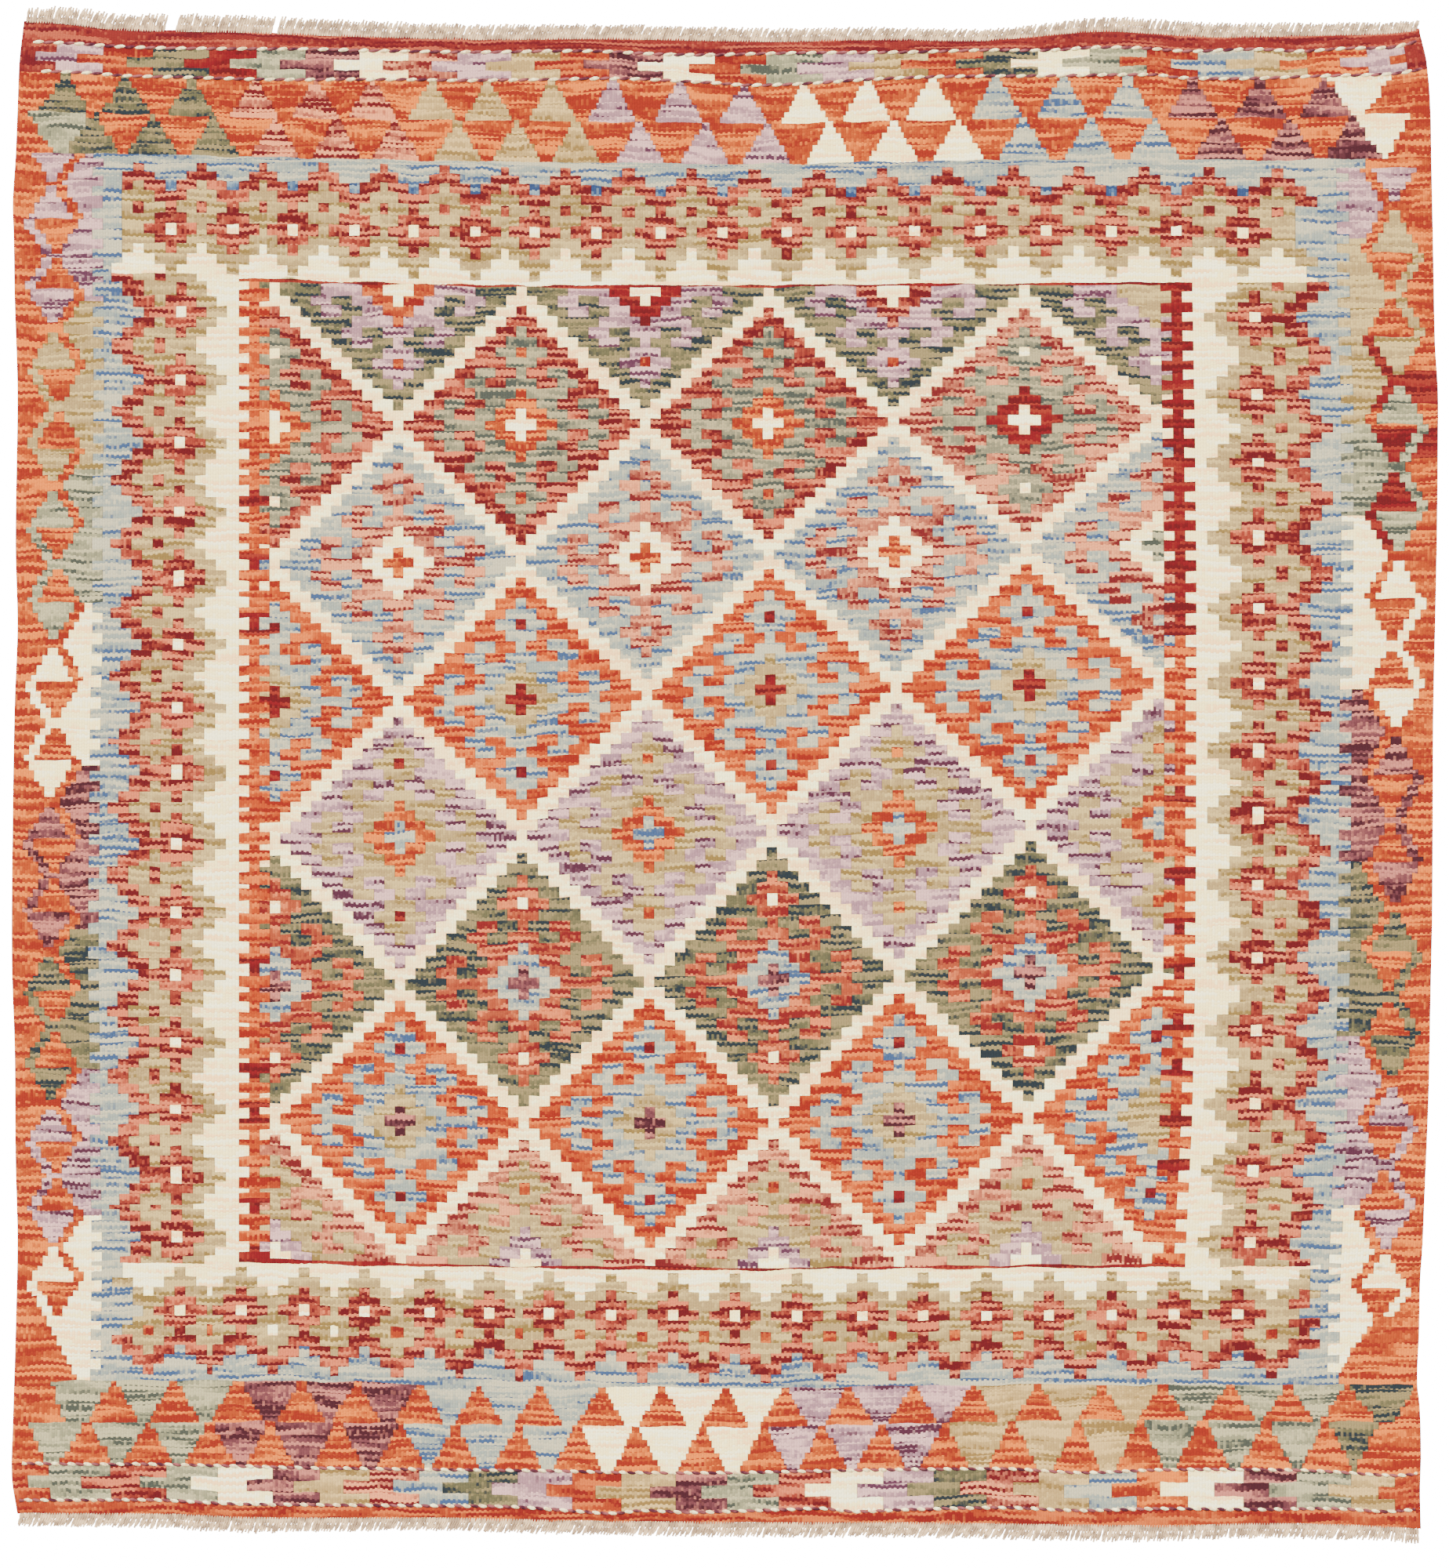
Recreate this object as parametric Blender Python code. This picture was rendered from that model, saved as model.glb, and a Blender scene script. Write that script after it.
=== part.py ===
"""A flat-woven kilim lying on the floor: one cloth with raised twined rows, and a fringe at either end.

The rug's middle is at the origin, X runs across it, Y along it and Z up. The floor is at Z = 0.
Sizes are in metres; the tables of the outline are in millimetres, because they were measured so.
"""

import random

import bmesh
import bpy
from mathutils import Vector

MM = 0.001

CLOTH_WIDTH = 1.500
CLOTH_LENGTH = 1.576
CLOTH_THICKNESS = 0.003
OUTLINE_STEP = 0.018

FRINGE_THICKNESS = 0.002
FRINGE_STRIP = 0.002
FRINGE_GAP = 0.0003
FRINGE_END_MARGIN = 0.002
LOCKS_AN_END = 148
# Shares: of the pitch that a lock's root fills, of the root's width that its tip keeps, and of its reach by
# which the tip slants to either side.
LOCK_FILL = 0.84
LOCK_TIP = 0.86
LOCK_SLANT = 0.12

# A twined row's width, its height over the cloth and depth in it, how far its crest swings to either side,
# and the shares of the width and the height that it keeps where the thin dark yarn crosses.
TWINE_WIDTH = 0.0050
TWINE_RISE = 0.0015
TWINE_SINK = 0.0006
TWINE_LEAN = 0.0005
TWINE_NECK = 0.7
TWINE_DIP = 0.45

# How far each edge of the cloth stands out from its straight line, along the edge from its middle.
# Columns: along, out (millimetres). Along runs up the sides and to the right on the ends.
LEFT_EDGE = [
    (-781, -1), (-742, 5), (-688, 4), (-589, 1), (-489, -1), (-406, 1), (-290, 2), (-190, 5),
    (-41, 4), (75, 2), (158, -1), (249, 1), (407, -1), (507, 2), (573, 3), (608, 4),
    (656, 1), (706, -1), (756, -3), (800, -8),
]
RIGHT_EDGE = [
    (-798, -13), (-755, -14), (-722, -13), (-672, -14), (-639, -17), (-589, -15), (-539, -14),
    (-489, -11), (-439, -9), (-340, -5), (-240, -3), (-141, -1), (59, 0), (158, 2), (258, 4),
    (357, 5), (407, 5), (457, 2), (556, 0), (656, -2), (706, -3), (756, -7), (791, -15),
]
TOP_EDGE = [
    (-742, 12), (-701, 10), (-668, 6), (-634, 3), (-518, 1), (-435, -2), (-303, -6), (-253, -7),
    (-136, -6), (63, -9), (146, -7), (270, -8), (312, -5), (345, -2), (378, 1), (411, 2),
    (445, 0), (511, -4), (561, -4), (644, -2), (694, -1), (735, 3),
]
BOTTOM_EDGE = [
    (-749, -7), (-585, -6), (-518, -3), (-435, -2), (-303, -2), (-153, 1), (63, 3), (195, 3),
    (345, 5), (478, 6), (561, 4), (644, 5), (694, 7), (737, 10),
]

# The courses of the four twined rows. Columns: along, inset from the end's straight line (millimetres).
TOP_OUTER_TWINE = [
    (-732, 10), (-686, 12), (-643, 15), (-585, 17), (-435, 18), (-353, 20), (-253, 21), (-145, 20),
    (-37, 24), (75, 22), (200, 21), (270, 19), (345, 19), (395, 16), (445, 17), (490, 20),
    (561, 18), (610, 20), (660, 17), (705, 16), (732, 10),
]
TOP_INNER_TWINE = [
    (-724, 41), (-675, 43), (-634, 46), (-560, 48), (-480, 50), (-353, 50), (-270, 51), (-187, 50),
    (-110, 49), (-20, 53), (25, 56), (92, 54), (150, 50), (228, 47), (345, 46), (455, 45),
    (480, 48), (545, 49), (640, 46), (707, 44), (738, 39),
]
BOTTOM_INNER_TWINE = [
    (-744, 61), (-680, 60), (-610, 60), (-518, 58), (-435, 56), (-353, 55), (-286, 54), (-187, 53),
    (-95, 51), (12, 51), (62, 52), (162, 54), (254, 55), (303, 55), (378, 51), (461, 54),
    (594, 54), (643, 52), (710, 48), (733, 50),
]
BOTTOM_OUTER_TWINE = [
    (-747, 22), (-685, 22), (-600, 22), (-518, 18), (-435, 17), (-318, 16), (-228, 15), (-153, 10),
    (-120, 8), (-87, 11), (-37, 9), (62, 12), (104, 13), (137, 10), (195, 12), (295, 14),
    (378, 11), (461, 13), (561, 12), (643, 13), (702, 10), (731, 12),
]
TOP_STITCHES = 68
BOTTOM_STITCHES = 86

# The fringe's reach past the cloth and its lean to the right. Columns: along, reach, lean (millimetres).
TOP_FRINGE = [
    (-742, 15, 2), (-700, 19, 5), (-650, 17, 7), (-600, 19, 5), (-450, 18, 6), (-300, 17, 6),
    (-150, 16, 7), (0, 15, 6), (150, 14, 7), (300, 13, 6), (380, 15, 4), (500, 16, 6),
    (650, 14, 5), (735, 12, 4),
]
BOTTOM_FRINGE = [
    (-749, 14, -5), (-650, 15, -6), (-500, 17, -4), (-350, 14, -5), (-150, 15, -6), (50, 16, -5),
    (250, 16, -7), (400, 18, -4), (550, 16, -3), (650, 16, -6), (700, 15, -4), (737, 18, 1),
]
# Where warp ends are worn away. Columns: from, to (millimetres along the end).
TOP_BARE = [(-593, -582)]
BOTTOM_BARE = []


def between(table, along, column=1):
    """A smooth curve through one column of a table, held level past its first and last row."""
    last = len(table) - 1
    if along <= table[0][0]:
        return table[0][column]
    if along >= table[last][0]:
        return table[last][column]
    index = max(i for i in range(last) if table[i][0] <= along)
    start, end = table[index], table[index + 1]
    before, after = table[max(index - 1, 0)], table[min(index + 2, last)]
    span = end[0] - start[0]
    t = (along - start[0]) / span
    leave = span * (end[column] - before[column]) / max(end[0] - before[0], 1)
    arrive = span * (after[column] - start[column]) / max(after[0] - start[0], 1)
    rise = 3 * t * t - 2 * t ** 3
    return (
        start[column] * (1 - rise)
        + end[column] * rise
        + leave * (t - 2 * t * t + t ** 3)
        + arrive * (t ** 3 - t * t)
    )


def stations(start, end, step):
    """Evenly spaced places from start to end, both included, about a step apart."""
    count = max(2, round(abs(end - start) / step))
    return [start + (end - start) * i / count for i in range(count + 1)]


def end_line(table, side, along, inward=0.0):
    """A point of the top end (side 1) or the bottom end (side -1), moved in by inward metres."""
    out = between(table, along / MM) * MM
    return Vector((along, side * (CLOTH_LENGTH / 2 + out - inward)))


def side_line(table, side, along):
    """A point of the right selvedge (side 1) or the left one (side -1)."""
    return Vector((side * (CLOTH_WIDTH / 2 + between(table, along / MM) * MM), along))


def table_ends(table):
    return table[0][0] * MM, table[-1][0] * MM


def cloth_outline():
    """The cloth's edge, anticlockwise from its bottom left corner."""
    left, right = table_ends(BOTTOM_EDGE)
    points = [end_line(BOTTOM_EDGE, -1, x) for x in stations(left, right, OUTLINE_STEP)]
    low, high = table_ends(RIGHT_EDGE)
    points += [side_line(RIGHT_EDGE, 1, y) for y in stations(low, high, OUTLINE_STEP)[1:]]
    left, right = table_ends(TOP_EDGE)
    points += [end_line(TOP_EDGE, 1, x) for x in stations(right, left, OUTLINE_STEP)]
    low, high = table_ends(LEFT_EDGE)
    points += [side_line(LEFT_EDGE, -1, y) for y in stations(high, low, OUTLINE_STEP)[1:-1]]
    return points


def material(name, colour, roughness):
    made = bpy.data.materials.new(name)
    made.use_nodes = True
    shader = made.node_tree.nodes["Principled BSDF"]
    shader.inputs["Base Color"].default_value = (*colour, 1.0)
    shader.inputs["Roughness"].default_value = roughness
    shader.inputs["Metallic"].default_value = 0.0
    return made


def flat_piece(name, outline, thickness, collection, finish):
    """One flat solid on the floor, from its outline seen from above."""
    curve = bpy.data.curves.new(name, "CURVE")
    curve.dimensions = "2D"
    curve.fill_mode = "BOTH"
    curve.extrude = thickness / 2
    spline = curve.splines.new("POLY")
    spline.points.add(len(outline) - 1)
    for point, place in zip(spline.points, outline):
        point.co = (place.x, place.y, 0.0, 1.0)
    spline.use_cyclic_u = True
    guide = bpy.data.objects.new(name + "_outline", curve)
    collection.objects.link(guide)
    guide.location.z = thickness / 2
    bpy.context.view_layer.update()

    evaluated = guide.evaluated_get(bpy.context.evaluated_depsgraph_get())
    mesh = bpy.data.meshes.new_from_object(evaluated)
    mesh.name = name
    piece = bpy.data.objects.new(name, mesh)
    piece.matrix_world = guide.matrix_world.copy()
    collection.objects.link(piece)
    bpy.data.objects.remove(guide)
    weld(mesh)
    mesh.materials.clear()
    mesh.materials.append(finish)
    return piece


def weld(mesh):
    """Joins the caps to the walls and turns every face outwards."""
    shape = bmesh.new()
    shape.from_mesh(mesh)
    bmesh.ops.remove_doubles(shape, verts=shape.verts, dist=1e-6)
    bmesh.ops.recalc_face_normals(shape, faces=shape.faces)
    shape.to_mesh(mesh)
    shape.free()


def twined_row(name, table, side, stitches, collection):
    """Two yarns twisted round each other: a ridge with a lump for each turn, sunk into the cloth.

    A section has a foot at either side, below the cloth's face, and a crest. Sections alternate between the
    top of the thick light yarn's stitch and the dip where the thin dark one crosses, and the crest leans
    one way at the stitch and the other way at the dip.
    """
    start, end = table_ends(table)
    sections = 2 * stitches
    shape = bmesh.new()
    rings = []
    for i in range(sections + 1):
        along = start + (end - start) * i / sections
        course = side * (CLOTH_LENGTH / 2 - between(table, along / MM) * MM)
        on_stitch = i % 2 == 1
        half = TWINE_WIDTH / 2 * (1.0 if on_stitch else TWINE_NECK)
        rise = TWINE_RISE * (1.0 if on_stitch else TWINE_DIP)
        lean = TWINE_LEAN if on_stitch else -TWINE_LEAN
        corners = (
            (along, course - half, CLOTH_THICKNESS - TWINE_SINK),
            (along, course + half, CLOTH_THICKNESS - TWINE_SINK),
            (along, course + lean, CLOTH_THICKNESS + rise),
        )
        rings.append([shape.verts.new(corner) for corner in corners])
    for ring, following in zip(rings, rings[1:]):
        for a in range(3):
            b = (a + 1) % 3
            shape.faces.new((ring[a], ring[b], following[b], following[a]))
    shape.faces.new(rings[0])
    shape.faces.new(rings[-1])
    bmesh.ops.triangulate(shape, faces=shape.faces)
    bmesh.ops.recalc_face_normals(shape, faces=shape.faces)
    mesh = bpy.data.meshes.new(name)
    shape.to_mesh(mesh)
    shape.free()

    row = bpy.data.objects.new(name, mesh)
    row.hide_render = True
    row.display_type = "WIRE"
    collection.objects.link(row)
    return row


def raise_on(cloth, row):
    """Unites a twined row with the cloth that it is woven into."""
    union = cloth.modifiers.new(row.name, "BOOLEAN")
    union.operation = "UNION"
    union.solver = "EXACT"
    union.object = row


def worn_away(along, bare):
    return any(low * MM < along < high * MM for low, high in bare)


def lock_outline(root, half, reach, lean, slant, side):
    """The four corners of one lock, from its right side round its slanting tip to its left side."""
    tip = root + Vector((lean, side * reach))
    corner = Vector((half * LOCK_TIP, side * reach * slant))
    return [root + Vector((half, 0)), tip + corner, tip - corner, root - Vector((half, 0))]


def fringe_outline(edge, profile, bare, side, seed):
    """A comb: a narrow strip along the cloth's end, with leaning locks that differ a little."""
    chance = random.Random(seed)
    left, right = table_ends(edge)
    left, right = left + FRINGE_END_MARGIN, right - FRINGE_END_MARGIN
    pitch = (right - left) / LOCKS_AN_END
    strip = [end_line(edge, side, x, -FRINGE_GAP) for x in stations(left, right, OUTLINE_STEP)]
    locks = []
    for i in reversed(range(LOCKS_AN_END)):
        along = left + (i + 0.5) * pitch
        half = pitch * LOCK_FILL / 2 * chance.uniform(0.88, 1.05)
        reach = between(profile, along / MM, 1) * MM * chance.uniform(0.88, 1.06)
        lean = between(profile, along / MM, 2) * MM + pitch * chance.uniform(-0.06, 0.06)
        slant = chance.uniform(-LOCK_SLANT, LOCK_SLANT)
        if worn_away(along, bare):
            continue
        root = end_line(edge, side, along, -FRINGE_GAP - FRINGE_STRIP)
        locks += lock_outline(root, half, reach, lean, slant, side)
    return strip + locks


def clear_scene():
    for old in list(bpy.data.objects):
        bpy.data.objects.remove(old)


def make_collection(name):
    made = bpy.data.collections.new(name)
    bpy.context.scene.collection.children.link(made)
    return made


def main():
    clear_scene()
    parts = make_collection("kilim_rug")
    guides = make_collection("twined_row_guides")
    guides.hide_render = True
    wool = material("wool_weft", (0.62, 0.30, 0.18), 0.9)
    cotton = material("cotton_warp", (0.66, 0.60, 0.52), 0.9)

    cloth = flat_piece("kilim_cloth", cloth_outline(), CLOTH_THICKNESS, parts, wool)
    for name, table, side, stitches in (
        ("twine_top_outer", TOP_OUTER_TWINE, 1, TOP_STITCHES),
        ("twine_top_inner", TOP_INNER_TWINE, 1, TOP_STITCHES),
        ("twine_bottom_inner", BOTTOM_INNER_TWINE, -1, BOTTOM_STITCHES),
        ("twine_bottom_outer", BOTTOM_OUTER_TWINE, -1, BOTTOM_STITCHES),
    ):
        raise_on(cloth, twined_row(name, table, side, stitches, guides))

    top = fringe_outline(TOP_EDGE, TOP_FRINGE, TOP_BARE, 1, seed=11)
    bottom = fringe_outline(BOTTOM_EDGE, BOTTOM_FRINGE, BOTTOM_BARE, -1, seed=12)
    flat_piece("fringe_top", top, FRINGE_THICKNESS, parts, cotton)
    flat_piece("fringe_bottom", bottom, FRINGE_THICKNESS, parts, cotton)


main()
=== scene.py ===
"""A kilim rug lying flat on the floor, seen from straight above.

The frame is the CAD model's: the rug's middle is at the origin, X runs across it, Y along it and Z up.
Objects are in metres. Tables are in millimetres, or in threads: a warp is one of the 533 cotton threads
that run along the rug, and a line is about three passes of weft, counted from the top end.
"""

import math
import random

import bmesh
import bpy
import numpy as np
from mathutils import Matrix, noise


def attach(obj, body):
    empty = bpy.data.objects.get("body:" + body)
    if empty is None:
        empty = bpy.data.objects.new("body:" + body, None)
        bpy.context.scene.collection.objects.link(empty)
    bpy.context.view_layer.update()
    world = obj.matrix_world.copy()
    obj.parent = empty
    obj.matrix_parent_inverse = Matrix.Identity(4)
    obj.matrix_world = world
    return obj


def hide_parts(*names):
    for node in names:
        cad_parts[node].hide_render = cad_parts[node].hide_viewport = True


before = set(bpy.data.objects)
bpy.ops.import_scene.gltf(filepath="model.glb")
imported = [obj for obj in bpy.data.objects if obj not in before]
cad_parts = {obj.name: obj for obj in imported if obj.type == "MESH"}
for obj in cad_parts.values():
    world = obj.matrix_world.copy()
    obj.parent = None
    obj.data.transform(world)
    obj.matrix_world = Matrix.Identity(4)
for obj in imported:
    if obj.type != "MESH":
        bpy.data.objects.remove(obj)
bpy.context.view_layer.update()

# ----------------------------------------------------------------------------------------------------
# The cloth, its threads. One piece of slit tapestry in thick wool weft, beaten down hard over cotton
# warps on a hand loom. Warps and wefts wander, so the edges are uneven and no row of the pattern is level.

MM = 0.001
HALF_LENGTH = 788.0
CLOTH_THICKNESS = 0.003

# How far each edge stands out from its straight line. Columns: along the edge from its middle, out.
LEFT_EDGE = [
    (-781, -1), (-742, 5), (-688, 4), (-589, 1), (-489, -1), (-406, 1), (-290, 2), (-190, 5),
    (-41, 4), (75, 2), (158, -1), (249, 1), (407, -1), (507, 2), (573, 3), (608, 4),
    (656, 1), (706, -1), (756, -3), (800, -8),
]
RIGHT_EDGE = [
    (-798, -13), (-755, -14), (-722, -13), (-672, -14), (-639, -17), (-589, -15), (-539, -14),
    (-489, -11), (-439, -9), (-340, -5), (-240, -3), (-141, -1), (59, 0), (158, 2), (258, 4),
    (357, 5), (407, 5), (457, 2), (556, 0), (656, -2), (706, -3), (756, -7), (791, -15),
]
TOP_EDGE = [
    (-742, 12), (-701, 10), (-668, 6), (-634, 3), (-518, 1), (-435, -2), (-303, -6), (-253, -7),
    (-136, -6), (63, -9), (146, -7), (270, -8), (312, -5), (345, -2), (378, 1), (411, 2),
    (445, 0), (511, -4), (561, -4), (644, -2), (694, -1), (735, 3),
]
BOTTOM_EDGE = [
    (-749, -7), (-585, -6), (-518, -3), (-435, -2), (-303, -2), (-153, 1), (63, 3), (195, 3),
    (345, 5), (478, 6), (561, 4), (644, 5), (694, 7), (737, 10),
]

# The courses of the four twined rows. Columns: along, inset from the end's straight line.
TOP_OUTER_TWINE = [
    (-732, 10), (-686, 12), (-643, 15), (-585, 17), (-435, 18), (-353, 20), (-253, 21), (-145, 20),
    (-37, 24), (75, 22), (200, 21), (270, 19), (345, 19), (395, 16), (445, 17), (490, 20),
    (561, 18), (610, 20), (660, 17), (705, 16), (732, 10),
]
TOP_INNER_TWINE = [
    (-724, 41), (-675, 43), (-634, 46), (-560, 48), (-480, 50), (-353, 50), (-270, 51), (-187, 50),
    (-110, 49), (-20, 53), (25, 56), (92, 54), (150, 50), (228, 47), (345, 46), (455, 45),
    (480, 48), (545, 49), (640, 46), (707, 44), (738, 39),
]
BOTTOM_INNER_TWINE = [
    (-744, 61), (-680, 60), (-610, 60), (-518, 58), (-435, 56), (-353, 55), (-286, 54), (-187, 53),
    (-95, 51), (12, 51), (62, 52), (162, 54), (254, 55), (303, 55), (378, 51), (461, 54),
    (594, 54), (643, 52), (710, 48), (733, 50),
]
BOTTOM_OUTER_TWINE = [
    (-747, 22), (-685, 22), (-600, 22), (-518, 18), (-435, 17), (-318, 16), (-228, 15), (-153, 10),
    (-120, 8), (-87, 11), (-37, 9), (62, 12), (104, 13), (137, 10), (195, 12), (295, 14),
    (378, 11), (461, 13), (561, 12), (643, 13), (702, 10), (731, 12),
]

# Where the parts of the pattern begin, in lines of weft from the top end.
BLOCKS, TRIANGLES, LOW_TRIANGLES, PLAIN, BORDER, RED_LINE, FIELD = 4, 7, 14, 21, 23, 47, 48
FIELD_END, LOW_BORDER, END_TRIANGLES, LAST_TRIANGLES = 232, 233, 258, 265
END_BLOCKS, END_BAND, LINES = 272, 275, 278
PASS_HEIGHT = 1.88

# Where they begin and end across the rug, in warps from the left comb. The border's outer edge is toothed
# as far as the zigzags.
LEFT_SELVEDGE, RIGHT_SELVEDGE = -84, 449
LEFT_ZIGZAG_END, RIGHT_ZIGZAG = -55, 419
LEFT_BORDER, RIGHT_BORDER_END = -51, 415
LEFT_COMB, RIGHT_COMB_END = 0, 364
FIELD_LEFT, FIELD_RIGHT = 12, 352
MIDDLE_WARP = 180
# Wool turns back only on these warps: every second one in the side zigzags, and every fourth elsewhere.
TURNS = [
    LEFT_SELVEDGE, *range(-80, -57, 2), LEFT_ZIGZAG_END, LEFT_BORDER, -48, *range(-44, 413, 4),
    RIGHT_BORDER_END, RIGHT_ZIGZAG, *range(423, 446, 2), RIGHT_SELVEDGE,
]
COLUMNS = len(TURNS) - 1

# Where warps lie across the rug near its top. Columns: warp, place.
WARP_PLACES = [
    (-84, -750), (-80, -739), (-60, -683.7), (-55, -669.6), (-51, -658.6), (-4, -527.8), (0, -514.4),
    (12, -482), (252, 171.8), (300, 311.3), (352, 461), (364, 495.1), (388, 567.3), (400, 604.7),
    (415, 648.6), (419, 661.6), (445, 740), (449, 750),
]
# How far a warp has moved to the right by these heights up the rug.
SWAY_HEIGHTS = (519, 368, 221, 74, -72, -219, -366, -512)
WARP_SWAY = {
    -24: (3, 1, 0, -2, -3, -4, -4, -2),
    0: (0, 0, 0, 0, 0, 0, 0, 0),
    62: (0, 0, 0, 0, 2, 2, 2, 3),
    110: (0, -1, -1, -1, 0, 2, 2, 4),
    158: (0, 0, 0, 2, 4, 4, 5, 5),
    206: (0, -1, 0, 2, 3, 5, 5, 5),
    254: (0, 1, 2, 4, 7, 7, 7, 7),
    302: (0, 0, 2, 6, 7, 6, 4, 2),
    352: (0, 2, 4, 4, 4, 3, -1, -9),
    386: (-1, 3, 4, 4, 3, 2, 0, -6),
}
# Where lines lie along the rug at its left side. Columns: line, height.
WEFT_PLACES = [
    (0, 799.7), (4, 774.4), (7, 743.7), (14, 704.1), (21, 664.4), (23, 652.6), (45, 530),
    (47, 525.4), (48, 522.5), (50, 508.8), (230, -506.7), (232, -512.2), (233, -515), (235, -519),
    (257, -632.8), (258, -639.4), (265, -681.9), (272, -726.7), (275, -764.9), (278, -780.7),
]
# How far a line has risen by these places across the rug.
RISE_PLACES = (-740, -590, -477, -217, 44, 317, 457, 600, 740)
WEFT_RISE = {
    14: (1, -4, -7, -10, -13, -7, -7, -7, -1),
    21: (-4, -6, -9, -14, -16, -11, -11, -12, -8),
    23: (-2, -3, -2, -7, -10, -6, -7, -9, -8),
    28: (0, 2, 1, -3, -6, -4, -4, -5, -4),
    36: (-1, 0, -1, -4, -4, -2, -3, -5, -5),
    45: (3, 3, 0, -6, -6, -2, -1, -1, -1),
    47: (3, 3, 1, -6, -5, -3, -2, -2, -2),
    48: (2, 2, 1, -5, -4, -2, -2, -2, -2),
    50: (0, 0, 0, 0, -1, -2, -2, -2, -2),
    75: (2, 2, 2, 5, 6, 10, 11, 11, 11),
    101: (3, 3, 3, 7, 14, 21, 24, 24, 24),
    127: (4, 4, 4, 7, 18, 23, 24, 24, 24),
    153: (6, 7, 7, 10, 15, 21, 23, 23, 23),
    179: (-2, -3, -4, 0, 3, 12, 16, 16, 16),
    205: (2, 3, 4, -1, -1, 4, 7, 7, 7),
    230: (2, 3, 4, -4, -4, 1, 2, 1, 0),
    232: (0, 0, 1, -6, -8, -5, -4, -3, -3),
    233: (0, 0, 0, -6, -8, -5, -5, -3, -3),
    244: (0, 0, 1, -3, -5, -5, -4, -3, 0),
    252: (0, 0, -1, -5, -10, -6, -7, -5, -2),
    256: (0, 0, -1, -6, -11, -3, -6, -3, -2),
    258: (0, 0, 0, -7, -8, -4, -5, -5, -4),
    265: (-2, -2, -1, -5, -7, 0, 1, -1, -1),
}


def between(table, along, column=1):
    """A smooth curve through one column of a table, held level past its first and last row."""
    last = len(table) - 1
    if along <= table[0][0]:
        return table[0][column]
    if along >= table[last][0]:
        return table[last][column]
    index = max(i for i in range(last) if table[i][0] <= along)
    start, end = table[index], table[index + 1]
    before, after = table[max(index - 1, 0)], table[min(index + 2, last)]
    span = end[0] - start[0]
    t = (along - start[0]) / span
    leave = span * (end[column] - before[column]) / max(end[0] - before[0], 1)
    arrive = span * (after[column] - start[column]) / max(after[0] - start[0], 1)
    rise = 3 * t * t - 2 * t ** 3
    return (
        start[column] * (1 - rise)
        + end[column] * rise
        + leave * (t - 2 * t * t + t ** 3)
        + arrive * (t ** 3 - t * t)
    )


def course(table, places):
    """The smooth curve of a table at many places at once."""
    dense = np.arange(-820, 821, 2)
    return np.interp(places, dense, [between(table, along) for along in dense])


def straight(table, places):
    """A table's second column at many places at once, joined by straight lines."""
    along, value = zip(*table)
    return np.interp(places, along, value)


def blend_rows(keys, rows, places):
    """At each place, the value between the rows of the two nearest keys."""
    keys = np.array(keys, float)
    rows = np.array(rows)
    low = np.clip(np.searchsorted(keys, places) - 1, 0, len(keys) - 2)
    share = np.clip((places - keys[low]) / (keys[low + 1] - keys[low]), 0, 1)
    index = np.arange(len(places))
    return rows[low, index] * (1 - share) + rows[low + 1, index] * share


def warp_places(warps, heights):
    """Where warps lie across the rug at these heights."""
    sways = {
        LEFT_SELVEDGE: -course(LEFT_EDGE, heights),
        RIGHT_SELVEDGE: course(RIGHT_EDGE, heights),
    }
    for warp, moved in WARP_SWAY.items():
        sways[warp] = np.interp(heights, SWAY_HEIGHTS[::-1], moved[::-1])
    keys = sorted(sways)
    return straight(WARP_PLACES, warps) + blend_rows(keys, [sways[key] for key in keys], warps)


def line_heights(lines, places):
    """How far up the rug lines of weft lie at these places across it."""
    rises = {line: np.interp(places, RISE_PLACES, moved) for line, moved in WEFT_RISE.items()}
    for line, height in (
        (0, HALF_LENGTH + course(TOP_EDGE, places)),
        (BLOCKS, HALF_LENGTH - course(TOP_OUTER_TWINE, places)),
        (TRIANGLES, HALF_LENGTH - course(TOP_INNER_TWINE, places)),
        (END_BLOCKS, course(BOTTOM_INNER_TWINE, places) - HALF_LENGTH),
        (END_BAND, course(BOTTOM_OUTER_TWINE, places) - HALF_LENGTH),
        (LINES, -HALF_LENGTH - course(BOTTOM_EDGE, places)),
    ):
        rises[line] = height - straight(WEFT_PLACES, line)
    keys = sorted(rises)
    return straight(WEFT_PLACES, lines) + blend_rows(keys, [rises[key] for key in keys], lines)


def lay(warps, lines):
    """The place on the rug of each crossing of a warp and a line, in millimetres."""
    heights = straight(WEFT_PLACES, lines)
    for _ in range(3):
        places = warp_places(warps, heights)
        heights = line_heights(lines, places)
    return places, heights


# ----------------------------------------------------------------------------------------------------
# The dyed wools. Handspun yarn, each dyed unevenly, so that one skein runs from a pale to a deep shade
# along its length, and the woven streaks come from that.

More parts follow.
